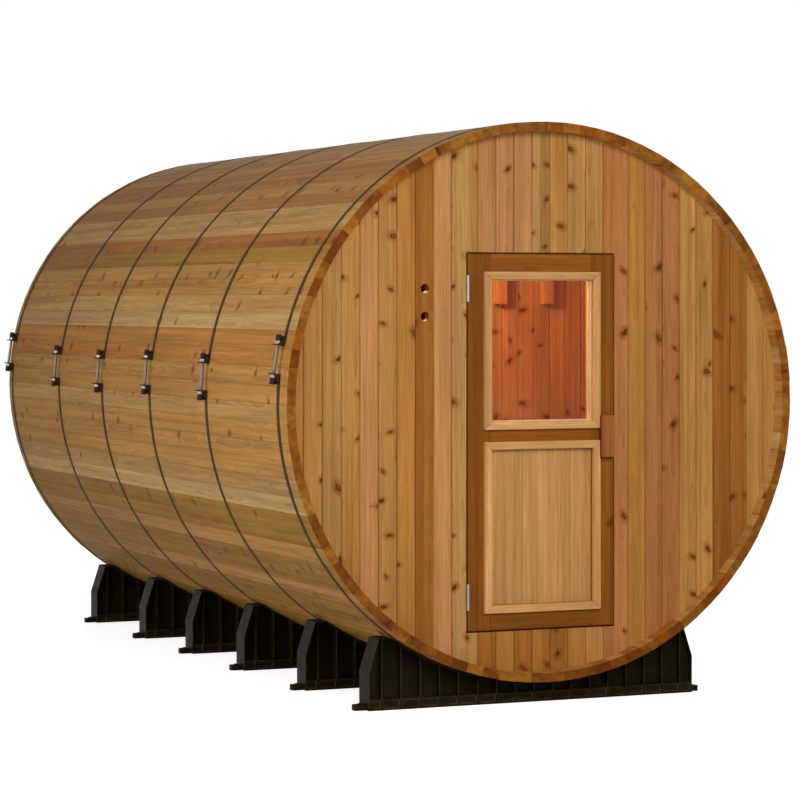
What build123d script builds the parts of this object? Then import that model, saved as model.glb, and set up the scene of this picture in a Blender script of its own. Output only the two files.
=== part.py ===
from build123d import *
from math import asin, cos, degrees, radians, sin, sqrt
import os

os.makedirs("parts", exist_ok=True)

# Barrel sauna, in millimetres.
# The ground is at height 0, the door faces the front at -Y, and the barrel lies along Y.

# Fits
seat_gap = 0.2
groove_gap = 0.4
pin_gap = 0.05
hoop_gap = 0.1

# Staves
barrel_radius = 1067.0
barrel_length = 3658.0
ground_clearance = 88.0
stave_thickness = 35.0
staves_per_panel = 8
panel_count = 12
croze_depth = 8.0

# End walls
wall_thickness = 38.0
end_recess = 60.0
cable_hole_diameter = 35.0
cable_hole_across = -486.0
cable_hole_heights = [431.0, 326.0]

# Partition between the changing room and the hot room
changing_room_depth = 1250.0
cleat_width = 50.0
cleat_depth = 39.0
cleat_height = 150.0
cleat_bottom = 370.0
cleat_places = [431.0, 654.0]

# Door leaf
leaf_width = 617.0
leaf_height = 1428.0
leaf_over_floor = 39.0
leaf_thickness = 35.0
leaf_proud = 2.0
door_gap = 6.5
stop_gap = 5.0
stile_width = 92.5
top_rail_height = 97.0
window_height = 540.0
middle_rail_height = 106.0
bottom_rail_height = 95.0

# Glass and lower panel
glass_thickness = 6.0
glass_tongue = 8.0
panel_thickness = 18.0
panel_tongue = 10.0

# Trim boards
trim_width = 30.0
trim_thickness = 19.0
trim_chamfer = 3.0

# Door stop
stop_cover = 20.0
stop_width = 50.0
stop_thickness = 25.0

# Pull handles
pull_width = 57.0
pull_height = 162.0
pull_thickness = 17.0
pull_over_leaf_bottom = 730.0
pull_block_height = 46.0
pull_block_width = 36.0
pull_standoff = 20.5
pull_edge_distance = 11.0
inner_pull_edge_distance = 24.5
pull_edge = 3.0

# Hinges
hinge_height = 100.0
hinge_from_leaf_top = 131.0
hinge_from_leaf_bottom = 129.0
hinge_plate_thickness = 2.0
hinge_plate_depth = 30.0
knuckle_diameter = 13.0
knuckle_sides = 16
knuckle_face_gap = 0.5
middle_knuckle_height = 33.0
knuckle_end_gap = 0.5
hinge_pin_diameter = 6.0

# Floor
floor_over_staves = 127.0
floor_board_thickness = 20.0
floor_board_gap = 9.0
floor_board_count = 8
floor_side_gap = 8.0
floor_end_gap = 12.0
floor_bearer_width = 45.0
changing_room_bearer_count = 3
hot_room_bearer_count = 4

# Hoops
hoop_width = 25.0
hoop_thickness = 1.2
hoop_flats = 48
hoop_bays = [781.0, 692.0, 643.0, 637.0]
front_hoop_inset = 88.0
rear_hoop_inset = 58.0
tensioner_heights = [165.0, 85.0, 88.0, 79.0, 89.0, 140.0]

# Tensioners
lug_spacing = 105.0
lug_plate_thickness = 6.0
lug_height = 40.0
lug_foot_length = 34.0
lug_foot_thickness = 4.0
bolt_diameter = 14.0
bolt_offset = 21.0
bolt_sides = 8
bolt_slot_gap = 0.5
nut_across_flats = 24.0
nut_height = 38.0

# Cradles
cradle_depth = 95.0
cradle_wrap_angle = 36.3
cradle_land_reach = 29.7
cradle_side_batter = 41.0
cradle_slope_height = 127.0
cradle_rim = 5.0
cradle_recess = 24.0
cradle_rail_height = 40.0
cradle_rib_pitch = 79.5
cradle_rib_width = 6.0
cradle_rib_pairs = 8
pocket_flats = 48
saddle_gap = 0.3
cradle_hoop_gap = 3.0
front_cradle_hoop_gap = 18.0
rear_cradle_hoop_gap = 30.0
tab_length = 45.0
tab_width = 40.0
tab_height = 22.0
tab_corner = 10.0

# Places that follow from the sizes above
stave_count = staves_per_panel * panel_count
stave_angle = 360.0 / stave_count
inner_radius = barrel_radius - stave_thickness
inner_flat_radius = inner_radius * cos(radians(stave_angle / 2))
croze_flat_radius = inner_flat_radius + croze_depth
axis_height = barrel_radius + ground_clearance
floor_top = floor_over_staves - inner_radius
wall_radius = croze_flat_radius - seat_gap
front_end = -barrel_length / 2
rear_end = barrel_length / 2
front_wall_face = front_end + end_recess
front_wall_back = front_wall_face + wall_thickness
rear_wall_face = rear_end - end_recess
rear_wall_back = rear_wall_face - wall_thickness
ground = -axis_height
leaf_half = leaf_width / 2
leaf_bottom = floor_top + leaf_over_floor
leaf_top = leaf_bottom + leaf_height
leaf_front = front_wall_face - leaf_proud
leaf_back = leaf_front + leaf_thickness
opening_half = leaf_half + door_gap
opening_top = leaf_top + door_gap
opening_bottom = leaf_bottom - door_gap
light_half = leaf_half - stile_width
window_top = leaf_top - top_rail_height
window_bottom = window_top - window_height
panel_top = window_bottom - middle_rail_height
panel_bottom = leaf_bottom + bottom_rail_height
hinge_centres = [leaf_top - hinge_from_leaf_top, leaf_bottom + hinge_from_leaf_bottom]
pull_height_centre = leaf_bottom + pull_over_leaf_bottom


# Helpers
def across(depth):
    return Plane(origin=(0, depth, axis_height), x_dir=(1, 0, 0), z_dir=(0, -1, 0))


def rim_point(radius, turn):
    return (radius * sin(radians(turn)), radius * cos(radians(turn)))


def save(piece, name):
    piece.label = name
    export_step(piece, "parts/" + name + ".step")


# Staves
# Each panel is a run of flat-faced staves with a croze groove near each end for the end walls.
for panel in range(panel_count):
    first_stave = panel * staves_per_panel
    turns = [(first_stave + step) * stave_angle for step in range(staves_per_panel + 1)]
    outside = [rim_point(barrel_radius, turn) for turn in turns]
    inside = [rim_point(inner_radius, turn) for turn in reversed(turns)]
    with BuildPart() as staves:
        with BuildSketch(across(front_end)):
            with BuildLine():
                Polyline(*outside, *inside, close=True)
            make_face()
        extrude(amount=-barrel_length)
        for groove_start in (front_wall_face - groove_gap, rear_wall_back - groove_gap):
            with BuildSketch(across(groove_start)):
                RegularPolygon(croze_flat_radius, stave_count, major_radius=False)
            extrude(amount=-wall_thickness - 2 * groove_gap, mode=Mode.SUBTRACT)
    save(staves.part, "staves_" + str(panel + 1).zfill(2))


# End walls
def wall_section(radius, left, right, bottom, top):
    RegularPolygon(radius, stave_count, major_radius=False)
    with Locations(((left + right) / 2, (bottom + top) / 2)):
        Rectangle(right - left, top - bottom, mode=Mode.INTERSECT)


with BuildPart() as front_wall_left:
    with BuildSketch(across(front_wall_face)):
        wall_section(wall_radius, -wall_radius, -opening_half, -wall_radius, wall_radius)
        with Locations([(cable_hole_across, height) for height in cable_hole_heights]):
            Circle(cable_hole_diameter / 2, mode=Mode.SUBTRACT)
    extrude(amount=-wall_thickness)
    for hinge_centre in hinge_centres:
        with BuildSketch(across(front_wall_face)):
            with Locations((-opening_half, hinge_centre)):
                Rectangle(2 * (hinge_plate_thickness + seat_gap), hinge_height + 2 * seat_gap)
        extrude(amount=-hinge_plate_depth - seat_gap, mode=Mode.SUBTRACT)
save(front_wall_left.part, "front_wall_left")

with BuildPart() as front_wall_right:
    with BuildSketch(across(front_wall_face)):
        wall_section(wall_radius, opening_half, wall_radius, -wall_radius, wall_radius)
    extrude(amount=-wall_thickness)
save(front_wall_right.part, "front_wall_right")

with BuildPart() as front_wall_over_door:
    with BuildSketch(across(front_wall_face)):
        wall_section(wall_radius, -opening_half, opening_half, opening_top, wall_radius)
    extrude(amount=-wall_thickness)
save(front_wall_over_door.part, "front_wall_over_door")

with BuildPart() as front_wall_under_door:
    with BuildSketch(across(front_wall_face)):
        wall_section(wall_radius, -opening_half, opening_half, -wall_radius, opening_bottom)
    extrude(amount=-wall_thickness)
save(front_wall_under_door.part, "front_wall_under_door")

with BuildPart() as back_wall:
    with BuildSketch(across(rear_wall_back)):
        RegularPolygon(wall_radius, stave_count, major_radius=False)
    extrude(amount=-wall_thickness)
save(back_wall.part, "back_wall")

# Partition
# Boards on end fill the barrel behind the changing room, with a doorway and two cleats.
partition_face = front_wall_back + changing_room_depth
partition_back = partition_face + wall_thickness
partition_radius = inner_flat_radius - seat_gap
with BuildPart() as partition_left:
    with BuildSketch(across(partition_face)):
        wall_section(partition_radius, -partition_radius, -opening_half, -partition_radius, partition_radius)
    extrude(amount=-wall_thickness)
save(partition_left.part, "partition_left")

with BuildPart() as partition_right:
    with BuildSketch(across(partition_face)):
        wall_section(partition_radius, opening_half, partition_radius, -partition_radius, partition_radius)
    extrude(amount=-wall_thickness)
save(partition_right.part, "partition_right")

with BuildPart() as partition_over_door:
    with BuildSketch(across(partition_face)):
        wall_section(partition_radius, -opening_half, opening_half, leaf_top, partition_radius)
    extrude(amount=-wall_thickness)
save(partition_over_door.part, "partition_over_door")

with BuildPart() as partition_under_door:
    with BuildSketch(across(partition_face)):
        wall_section(partition_radius, -opening_half, opening_half, -partition_radius, leaf_bottom)
    extrude(amount=-wall_thickness)
save(partition_under_door.part, "partition_under_door")

with BuildPart() as partition_cleats:
    with BuildSketch(across(partition_face - cleat_depth - seat_gap)):
        with Locations([(place, cleat_bottom + cleat_height / 2) for place in cleat_places]):
            Rectangle(cleat_width, cleat_height)
    extrude(amount=-cleat_depth)
save(partition_cleats.part, "partition_cleats")

# Door stop
# Four boards on the inside of the wall overlap the opening, and the leaf closes against them.
stop_inside = opening_half - stop_cover
stop_outside = stop_inside + stop_width
stop_head = opening_top - stop_cover
stop_sill = opening_bottom + stop_cover
stop_depth = front_wall_back + seat_gap
stop_side_height = stop_head - stop_sill
stop_middle = (stop_head + stop_sill) / 2
with BuildPart() as door_stop:
    with BuildSketch(across(stop_depth)):
        for side in (-1, 1):
            with Locations((side * (stop_inside + stop_outside) / 2, stop_middle)):
                Rectangle(stop_width, stop_side_height - 2 * seat_gap)
        for board_middle in (stop_head + stop_width / 2, stop_sill - stop_width / 2):
            with Locations((0, board_middle)):
                Rectangle(2 * stop_outside, stop_width)
    extrude(amount=-stop_thickness)
save(door_stop.part, "door_stop")

# Floor
# Bearers cut to the inside of the barrel carry a slatted floor in each room.
bearer_top = floor_top - floor_board_thickness - seat_gap
bearer_depth = inner_flat_radius + bearer_top
floor_half_width = sqrt(inner_flat_radius**2 - bearer_top**2) - floor_side_gap
board_pitch = (2 * floor_half_width + floor_board_gap) / floor_board_count
floor_board_width = board_pitch - floor_board_gap
changing_room_start = stop_depth + stop_thickness + floor_end_gap
changing_room_end = partition_face - floor_end_gap
hot_room_start = partition_back + floor_end_gap
hot_room_end = rear_wall_back - floor_end_gap


def slats(start, length):
    with BuildSketch(across(start)) as slat_ends:
        with Locations((0, floor_top - floor_board_thickness / 2)):
            with GridLocations(board_pitch, floor_board_thickness, floor_board_count, 1):
                Rectangle(floor_board_width, floor_board_thickness)
    extrude(slat_ends.sketch, amount=-length)


def bearers(start, length, count):
    for bearer in range(count):
        bearer_start = start + bearer * (length - floor_bearer_width) / (count - 1)
        with BuildSketch(across(bearer_start)) as bearer_end:
            RegularPolygon(inner_flat_radius - seat_gap, stave_count, major_radius=False)
            with Locations((0, bearer_top - bearer_depth / 2)):
                Rectangle(2 * inner_radius, bearer_depth, mode=Mode.INTERSECT)
        extrude(bearer_end.sketch, amount=-floor_bearer_width)


with BuildPart() as changing_room_floor:
    slats(changing_room_start, changing_room_end - changing_room_start)
save(changing_room_floor.part, "changing_room_floor")

with BuildPart() as hot_room_floor:
    slats(hot_room_start, hot_room_end - hot_room_start)
save(hot_room_floor.part, "hot_room_floor")

with BuildPart() as floor_bearers:
    bearers(changing_room_start, changing_room_end - changing_room_start, changing_room_bearer_count)
    bearers(hot_room_start, hot_room_end - hot_room_start, hot_room_bearer_count)
save(floor_bearers.part, "floor_bearers")

# Door leaf
# Grooves in the stiles and rails hold the glass and the lower panel.
leaf_middle = (leaf_top + leaf_bottom) / 2
window_middle = (window_top + window_bottom) / 2
panel_middle = (panel_top + panel_bottom) / 2
panel_height = panel_top - panel_bottom
glass_front = leaf_front + (leaf_thickness - glass_thickness) / 2
panel_front = leaf_front + (leaf_thickness - panel_thickness) / 2


def infill(middle, height, tongue, front, thickness, gap, mode=Mode.ADD):
    with BuildSketch(across(front - gap)) as outline:
        with Locations((0, middle)):
            Rectangle(2 * (light_half + tongue + gap), height + 2 * (tongue + gap))
    extrude(outline.sketch, amount=-thickness - 2 * gap, mode=mode)


def cut_grooves():
    infill(
        window_middle, window_height, glass_tongue,
        glass_front, glass_thickness, seat_gap, Mode.SUBTRACT,
    )
    infill(
        panel_middle, panel_height, panel_tongue,
        panel_front, panel_thickness, seat_gap, Mode.SUBTRACT,
    )


with BuildPart() as door_hinge_stile:
    with BuildSketch(across(leaf_front)):
        with Locations((-leaf_half + stile_width / 2, leaf_middle)):
            Rectangle(stile_width, leaf_top - leaf_bottom)
    extrude(amount=-leaf_thickness)
    cut_grooves()
    for hinge_centre in hinge_centres:
        with BuildSketch(across(leaf_front)):
            with Locations((-leaf_half, hinge_centre)):
                Rectangle(2 * (hinge_plate_thickness + seat_gap), hinge_height + 2 * seat_gap)
        extrude(amount=-hinge_plate_depth - seat_gap, mode=Mode.SUBTRACT)
save(door_hinge_stile.part, "door_hinge_stile")

with BuildPart() as door_latch_stile:
    with BuildSketch(across(leaf_front)):
        with Locations((leaf_half - stile_width / 2, leaf_middle)):
            Rectangle(stile_width, leaf_top - leaf_bottom)
    extrude(amount=-leaf_thickness)
    cut_grooves()
save(door_latch_stile.part, "door_latch_stile")


def rail(bottom, height):
    with BuildSketch(across(leaf_front)) as outline:
        with Locations((0, bottom + height / 2)):
            Rectangle(2 * (light_half - seat_gap), height)
    extrude(outline.sketch, amount=-leaf_thickness)
    cut_grooves()


with BuildPart() as door_top_rail:
    rail(window_top, top_rail_height)
save(door_top_rail.part, "door_top_rail")

with BuildPart() as door_middle_rail:
    rail(panel_top, middle_rail_height)
save(door_middle_rail.part, "door_middle_rail")

with BuildPart() as door_bottom_rail:
    rail(leaf_bottom, bottom_rail_height)
save(door_bottom_rail.part, "door_bottom_rail")

with BuildPart() as door_glass:
    infill(window_middle, window_height, glass_tongue, glass_front, glass_thickness, 0)
save(door_glass.part, "door_glass")

with BuildPart() as door_panel:
    infill(panel_middle, panel_height, panel_tongue, panel_front, panel_thickness, 0)
save(door_panel.part, "door_panel")


# Door trims
# Mitred boards frame the window and the panel on both faces of the leaf.
def trim_frame(middle, height):
    with Locations((0, middle)):
        Rectangle(2 * (light_half + trim_width), height + 2 * trim_width)
        Rectangle(2 * light_half, height, mode=Mode.SUBTRACT)
    for side in (-1, 1):
        for end in (-1, 1):
            with Locations((side * light_half, middle + end * height / 2)):
                Rectangle(4 * trim_width, seat_gap, rotation=45 * side * end, mode=Mode.SUBTRACT)


def trim_pair(middle, height):
    for trim_face in (leaf_front - seat_gap - trim_thickness, leaf_back + seat_gap):
        with BuildSketch(across(trim_face)) as frame:
            trim_frame(middle, height)
        extrude(frame.sketch, amount=-trim_thickness)


with BuildPart() as window_trim:
    trim_pair(window_middle, window_height)
save(window_trim.part, "window_trim")

with BuildPart() as panel_trim:
    trim_pair(panel_middle, panel_height)
save(panel_trim.part, "panel_trim")


# Pull handles
# A plate stands off the latch stile on a block, leaving room for fingers above and below.
def pull_handle(face, outward, right_edge):
    block_centre = right_edge - pull_block_width / 2
    plate_centre = right_edge - pull_width / 2
    with BuildSketch(across(face)) as block:
        with Locations((block_centre, pull_height_centre)):
            Rectangle(pull_block_width, pull_block_height)
    extrude(block.sketch, amount=outward * pull_standoff)
    with BuildSketch(across(face - outward * pull_standoff)) as plate:
        with Locations((plate_centre, pull_height_centre)):
            Rectangle(pull_width, pull_height)
    extrude(plate.sketch, amount=outward * pull_thickness)


with BuildPart() as door_pull_handles:
    pull_handle(leaf_front - seat_gap, 1, leaf_half - pull_edge_distance)
    pull_handle(leaf_back + seat_gap, -1, leaf_half - inner_pull_edge_distance)
    front_edges = door_pull_handles.edges().filter_by_position(
        Axis.Y,
        leaf_front - seat_gap - pull_standoff - pull_thickness - seat_gap,
        leaf_front - seat_gap - pull_standoff - pull_thickness + seat_gap,
    )
    rear_edges = door_pull_handles.edges().filter_by_position(
        Axis.Y,
        leaf_back + seat_gap + pull_standoff + pull_thickness - seat_gap,
        leaf_back + seat_gap + pull_standoff + pull_thickness + seat_gap,
    )
    chamfer(front_edges + rear_edges, pull_edge)
save(door_pull_handles.part, "door_pull_handles")

# Hinges
# The pin stays with the wall plates and runs in the door plate's middle knuckle.
hinge_axis_x = -leaf_half - door_gap / 2
knuckle_radius = knuckle_diameter / 2
hinge_axis_y = leaf_front - knuckle_radius - knuckle_face_gap
outer_knuckle_height = (hinge_height - middle_knuckle_height) / 2 - knuckle_end_gap
pin_radius = hinge_pin_diameter / 2


def hinge_level(centre, rise):
    return Plane(origin=(0, 0, axis_height + centre + rise))


with BuildPart() as door_hinge_plates:
    for hinge_centre in hinge_centres:
        plate_back = leaf_front + hinge_plate_depth
        plate_x = -leaf_half + hinge_plate_thickness / 2
        with BuildSketch(hinge_level(hinge_centre, -hinge_height / 2)):
            with Locations((plate_x, (plate_back + leaf_front) / 2)):
                Rectangle(hinge_plate_thickness, hinge_plate_depth)
        extrude(amount=hinge_height)
        with BuildSketch(hinge_level(hinge_centre, -middle_knuckle_height / 2)):
            with Locations((plate_x, (hinge_axis_y + leaf_front) / 2)):
                Rectangle(hinge_plate_thickness, leaf_front - hinge_axis_y)
            with Locations((hinge_axis_x, hinge_axis_y)):
                RegularPolygon(knuckle_radius, knuckle_sides, major_radius=False)
                Circle(pin_radius + pin_gap, mode=Mode.SUBTRACT)
        extrude(amount=middle_knuckle_height)
save(door_hinge_plates.part, "door_hinge_plates")

with BuildPart() as wall_hinge_plates:
    for hinge_centre in hinge_centres:
        plate_back = front_wall_face + hinge_plate_depth
        plate_x = -opening_half - hinge_plate_thickness / 2
        with BuildSketch(hinge_level(hinge_centre, -hinge_height / 2)):
            with Locations((plate_x, (plate_back + front_wall_face) / 2)):
                Rectangle(hinge_plate_thickness, hinge_plate_depth)
        extrude(amount=hinge_height)
        for knuckle_start in (-hinge_height / 2, hinge_height / 2 - outer_knuckle_height):
            with BuildSketch(hinge_level(hinge_centre, knuckle_start)):
                with Locations((plate_x, (hinge_axis_y + front_wall_face) / 2)):
                    Rectangle(hinge_plate_thickness, front_wall_face - hinge_axis_y)
                with Locations((hinge_axis_x, hinge_axis_y)):
                    RegularPolygon(knuckle_radius, knuckle_sides, major_radius=False)
            extrude(amount=outer_knuckle_height)
        with BuildSketch(hinge_level(hinge_centre, -hinge_height / 2)):
            with Locations((hinge_axis_x, hinge_axis_y)):
                Circle(pin_radius)
        extrude(amount=hinge_height)
save(wall_hinge_plates.part, "wall_hinge_plates")

# Hoops
# Each hoop is two half bands, with a lug welded to each end for the tension bolts.
hoop_inside = barrel_radius + hoop_gap
hoop_outside = hoop_inside + hoop_thickness
hoop_places = [front_end + front_hoop_inset]
for bay in hoop_bays:
    hoop_places.append(hoop_places[-1] + bay)
hoop_places.append(rear_end - rear_hoop_inset)


def hoop_ring(radius, mode=Mode.ADD):
    RegularPolygon(radius, hoop_flats, major_radius=False, rotation=180 / hoop_flats, mode=mode)


def tension_frame(place, height):
    rise = asin(height / barrel_radius)
    outward = (-cos(rise), 0, sin(rise))
    foot = (-hoop_outside * cos(rise), place, axis_height + hoop_outside * sin(rise))
    return Plane(origin=foot, x_dir=outward, z_dir=(0, 1, 0))


for number, place in enumerate(hoop_places):
    level = tensioner_heights[number]
    side_turn = 180 - degrees(asin(level / barrel_radius))
    frame = tension_frame(place, level)
    with BuildPart() as hoop:
        with BuildSketch(across(place - hoop_width / 2)):
            hoop_ring(hoop_outside)
            hoop_ring(hoop_inside, Mode.SUBTRACT)
            gap_reach = 2 * lug_spacing
            for gap_turn in (side_turn, 180 - side_turn):
                gap_centre = (barrel_radius * cos(radians(gap_turn)), barrel_radius * sin(radians(gap_turn)))
                with Locations(gap_centre):
                    Rectangle(gap_reach, lug_spacing, rotation=gap_turn, mode=Mode.SUBTRACT)
        extrude(amount=-hoop_width)
        with BuildSketch(frame.offset(-hoop_width / 2)) as lugs:
            for direction in (-1, 1):
                inner = direction * lug_spacing / 2
                outer = inner + direction * lug_plate_thickness
                tail = inner + direction * lug_foot_length
                tail_drop = hoop_outside - sqrt(hoop_outside**2 - tail**2)
                inner_drop = hoop_outside - sqrt(hoop_outside**2 - inner**2)
                with BuildLine():
                    Polyline(
                        (-inner_drop - hoop_thickness / 2, inner),
                        (lug_height, inner),
                        (lug_height, outer),
                        (lug_foot_thickness, outer),
                        (lug_foot_thickness - tail_drop, tail),
                        (-tail_drop - hoop_thickness / 2, tail),
                        close=True,
                    )
                make_face()
        extrude(amount=hoop_width)
        slot_half = bolt_diameter / 2 + bolt_slot_gap
        slot_bottom = frame.offset(-slot_half)
        with BuildSketch(slot_bottom):
            with Locations(((bolt_offset - slot_half + lug_height) / 2, 0)):
                Rectangle(lug_height - bolt_offset + slot_half, 2 * lug_spacing)
        extrude(amount=2 * slot_half, mode=Mode.SUBTRACT)
        mirror(about=Plane.YZ)
    save(hoop.part, "hoop_" + str(number + 1))

# Tension bolts
with BuildPart() as tension_bolts:
    for number, place in enumerate(hoop_places):
        frame = tension_frame(place, tensioner_heights[number])
        bolt_centre = frame.from_local_coords((bolt_offset, 0, 0))
        bolt_axis = Plane(origin=bolt_centre, x_dir=(0, 1, 0), z_dir=frame.y_dir)
        nut_start = lug_spacing / 2 + lug_plate_thickness + seat_gap
        with BuildSketch(bolt_axis.offset(-nut_start)):
            RegularPolygon(bolt_diameter / 2, bolt_sides)
        extrude(amount=2 * nut_start)
        for nut_base in (nut_start, -nut_start - nut_height):
            with BuildSketch(bolt_axis.offset(nut_base)):
                RegularPolygon(nut_across_flats / 2, 6, major_radius=False)
            extrude(amount=nut_height)
    mirror(about=Plane.YZ)
save(tension_bolts.part, "tension_bolts")

# Cradles
# Moulded saddles: a core with a full-depth rim, a base rail and upright ribs on both faces.
saddle_radius = barrel_radius * cos(radians(stave_angle / 2)) + saddle_gap
pocket_radius = saddle_radius + cradle_rim
land_radius = barrel_radius + cradle_land_reach
land_half_width = land_radius * sin(radians(cradle_wrap_angle))
land_height = axis_height - land_radius * cos(radians(cradle_wrap_angle))
cradle_half_width = land_half_width + cradle_side_batter
cradle_side_height = land_height - cradle_slope_height
half_widths = (hoop_width + cradle_depth) / 2
cradle_places = [hoop_places[0] + half_widths + front_cradle_hoop_gap]
for place in hoop_places[1:-1]:
    cradle_places.append(place - half_widths - cradle_hoop_gap)
cradle_places.append(hoop_places[-1] - half_widths - rear_cradle_hoop_gap)


def cradle_outline():
    Polygon(
        (-cradle_half_width, ground),
        (cradle_half_width, ground),
        (cradle_half_width, ground + cradle_side_height),
        (land_half_width, ground + land_height),
        (-land_half_width, ground + land_height),
        (-cradle_half_width, ground + cradle_side_height),
        align=None,
    )


for number, place in enumerate(cradle_places):
    cradle_front = place - cradle_depth / 2
    cradle_back = place + cradle_depth / 2
    with BuildPart() as cradle:
        with BuildSketch(across(cradle_front)):
            cradle_outline()
            RegularPolygon(saddle_radius, stave_count, major_radius=False, mode=Mode.SUBTRACT)
        extrude(amount=-cradle_depth)
        for face, inward in ((cradle_front, -1), (cradle_back, 1)):
            with BuildSketch(across(face)):
                cradle_outline()
                offset(amount=-cradle_rim)
                RegularPolygon(pocket_radius, pocket_flats, major_radius=False, mode=Mode.SUBTRACT)
                with Locations((0, ground + cradle_rail_height / 2)):
                    Rectangle(2 * cradle_half_width, cradle_rail_height, mode=Mode.SUBTRACT)
                with Locations((0, ground + land_height / 2)):
                    with GridLocations(cradle_rib_pitch, land_height, 2 * cradle_rib_pairs + 1, 1):
                        Rectangle(cradle_rib_width, land_height, mode=Mode.SUBTRACT)
            extrude(amount=inward * cradle_recess, mode=Mode.SUBTRACT)
        with BuildSketch(Plane(origin=(0, place, 0))):
            Rectangle(2 * (cradle_half_width + tab_length), tab_width)
            chamfer(vertices(), tab_corner)
        extrude(amount=tab_height)
    save(cradle.part, "cradle_" + str(number + 1))
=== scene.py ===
# %% [markdown]
# # A barrel sauna, dressed in Blender
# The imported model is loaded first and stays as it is. It is the measured frame: all that is made
# below sits where it says, in metres, with the ground at height 0 and the door end at -Y.

import math
import random

import bmesh
import bpy
from mathutils import Matrix, Vector


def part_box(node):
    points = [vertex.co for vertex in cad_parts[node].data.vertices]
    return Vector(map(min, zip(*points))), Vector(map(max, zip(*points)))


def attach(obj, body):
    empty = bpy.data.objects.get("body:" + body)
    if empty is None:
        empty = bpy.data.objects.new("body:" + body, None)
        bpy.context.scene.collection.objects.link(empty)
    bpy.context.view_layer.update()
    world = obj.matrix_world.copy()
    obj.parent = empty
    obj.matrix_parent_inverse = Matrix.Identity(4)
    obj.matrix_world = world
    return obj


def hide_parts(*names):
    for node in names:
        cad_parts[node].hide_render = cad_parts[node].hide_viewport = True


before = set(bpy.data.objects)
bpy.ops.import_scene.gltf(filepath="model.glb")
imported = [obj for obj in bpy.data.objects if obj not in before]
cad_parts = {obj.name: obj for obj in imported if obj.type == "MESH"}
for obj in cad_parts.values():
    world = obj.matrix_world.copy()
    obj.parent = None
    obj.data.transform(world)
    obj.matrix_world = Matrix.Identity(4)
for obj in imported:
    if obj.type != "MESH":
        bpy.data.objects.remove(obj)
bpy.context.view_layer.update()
X, Y, Z = (1, 0, 0), (0, 1, 0), (0, 0, 1)


# %% [markdown]
# ## The camera
# The sauna is seen from the front left at eye height through a long lens. The camera looks level,
# which keeps the door's edges upright, and a small lens shift centres the barrel.

# %% Place the camera
def place_object(name, data):
    made = bpy.data.objects.new(name, data)
    bpy.context.scene.collection.objects.link(made)
    return made


lens = bpy.data.cameras.new("camera")
lens.sensor_width = 36.0
lens.lens = 133.15
lens.shift_y = -0.1221
lens.clip_end = 200.0
camera = place_object("camera", lens)
camera.location = (-5.00447, -11.92728, 1.53362)
camera.rotation_euler = (math.pi / 2, 0.0, -0.4101)
bpy.context.scene.camera = camera
bpy.context.scene.view_settings.view_transform = "Standard"
print("camera at", tuple(camera.location))

# %% [markdown]
# ## The main sizes
# The places of the walls and the door are read from the frame's nodes. The rest are the sizes that
# a maker would write on the drawing.

# %% Read and name the sizes
wall_left_low, wall_left_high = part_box("front_wall_left")
stile_low, stile_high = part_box("door_hinge_stile")
axis_height = 1.155
barrel_radius = 1.067
stave_thickness = 0.035
barrel_length = 3.658
stave_count = 96
staves_per_panel = 8
wall_face, wall_back = wall_left_low.y, wall_left_high.y
wall_thickness = wall_back - wall_face
opening_half = -wall_left_high.x
opening_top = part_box("front_wall_over_door")[0].z
opening_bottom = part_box("front_wall_under_door")[1].z
leaf_half = -stile_low.x
leaf_front, leaf_back = stile_low.y, stile_high.y
print("doorway", round(2 * opening_half, 4), "wide,", round(opening_top - opening_bottom, 4), "high")


# %% [markdown]
# ## Node helpers
# These helpers add a node in the tree of the socket they are given, set what is constant, and link
# what varies, so that the materials below read as recipes.

# %% Helpers that add nodes
def feed(node, inputs):
    for name, value in inputs.items():
        if isinstance(value, bpy.types.NodeSocket):
            node.id_data.links.new(value, node.inputs[name])
        else:
            node.inputs[name].default_value = value


def add_node(tree, kind, inputs=None, **settings):
    made = tree.nodes.new(kind)
    for name, value in settings.items():
        setattr(made, name, value)
    feed(made, inputs or {})
    return made


def sums(operation, first, second=0.0, third=0.0):
    inputs = {0: first, 1: second, 2: third}
    return add_node(first.id_data, "ShaderNodeMath", inputs, operation=operation).outputs[0]


def times(first, second):
    return sums("MULTIPLY", first, second)


def plus(first, second):
    return sums("ADD", first, second)


def times_plus(first, second, third):
    return sums("MULTIPLY_ADD", first, second, third)


def vectors(operation, first, second=(0.0, 0.0, 0.0)):
    made = add_node(first.id_data, "ShaderNodeVectorMath", {0: first, 1: second}, operation=operation)
    return made.outputs["Value" if operation == "LENGTH" else "Vector"]


def stretch(vector, factors):
    return vectors("MULTIPLY", vector, factors)


def split(vector):
    return add_node(vector.id_data, "ShaderNodeSeparateXYZ", {"Vector": vector}).outputs


# %% Helpers for colours and textures
def blend(tree, kind, factor, first, second):
    inputs = {0: factor, 6: first, 7: second}
    return add_node(tree, "ShaderNodeMix", inputs, data_type="RGBA", blend_type=kind).outputs[2]


def mix(factor, first, second):
    return blend(factor.id_data, "MIX", factor, first, second)


def tint(colour, shade):
    return blend(colour.id_data, "MULTIPLY", 1.0, colour, shade)


def ramp(value, low, high, to_low=0.0, to_high=1.0, kind="LINEAR"):
    inputs = {"Value": value, "From Min": low, "From Max": high, "To Min": to_low, "To Max": to_high}
    return add_node(value.id_data, "ShaderNodeMapRange", inputs, interpolation_type=kind).outputs["Result"]


def smooth(value, low, high, to_low=0.0, to_high=1.0):
    return ramp(value, low, high, to_low, to_high, "SMOOTHSTEP")


def noise(place, factors, detail=2.0, roughness=0.5):
    scaled = stretch(place, factors)
    inputs = {"Vector": scaled, "Scale": 1.0, "Detail": detail, "Roughness": roughness}
    return add_node(place.id_data, "ShaderNodeTexNoise", inputs).outputs["Fac"]


def relief(height, depth):
    return add_node(height.id_data, "ShaderNodeBump", {"Height": height, "Distance": depth}).outputs["Normal"]


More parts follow.
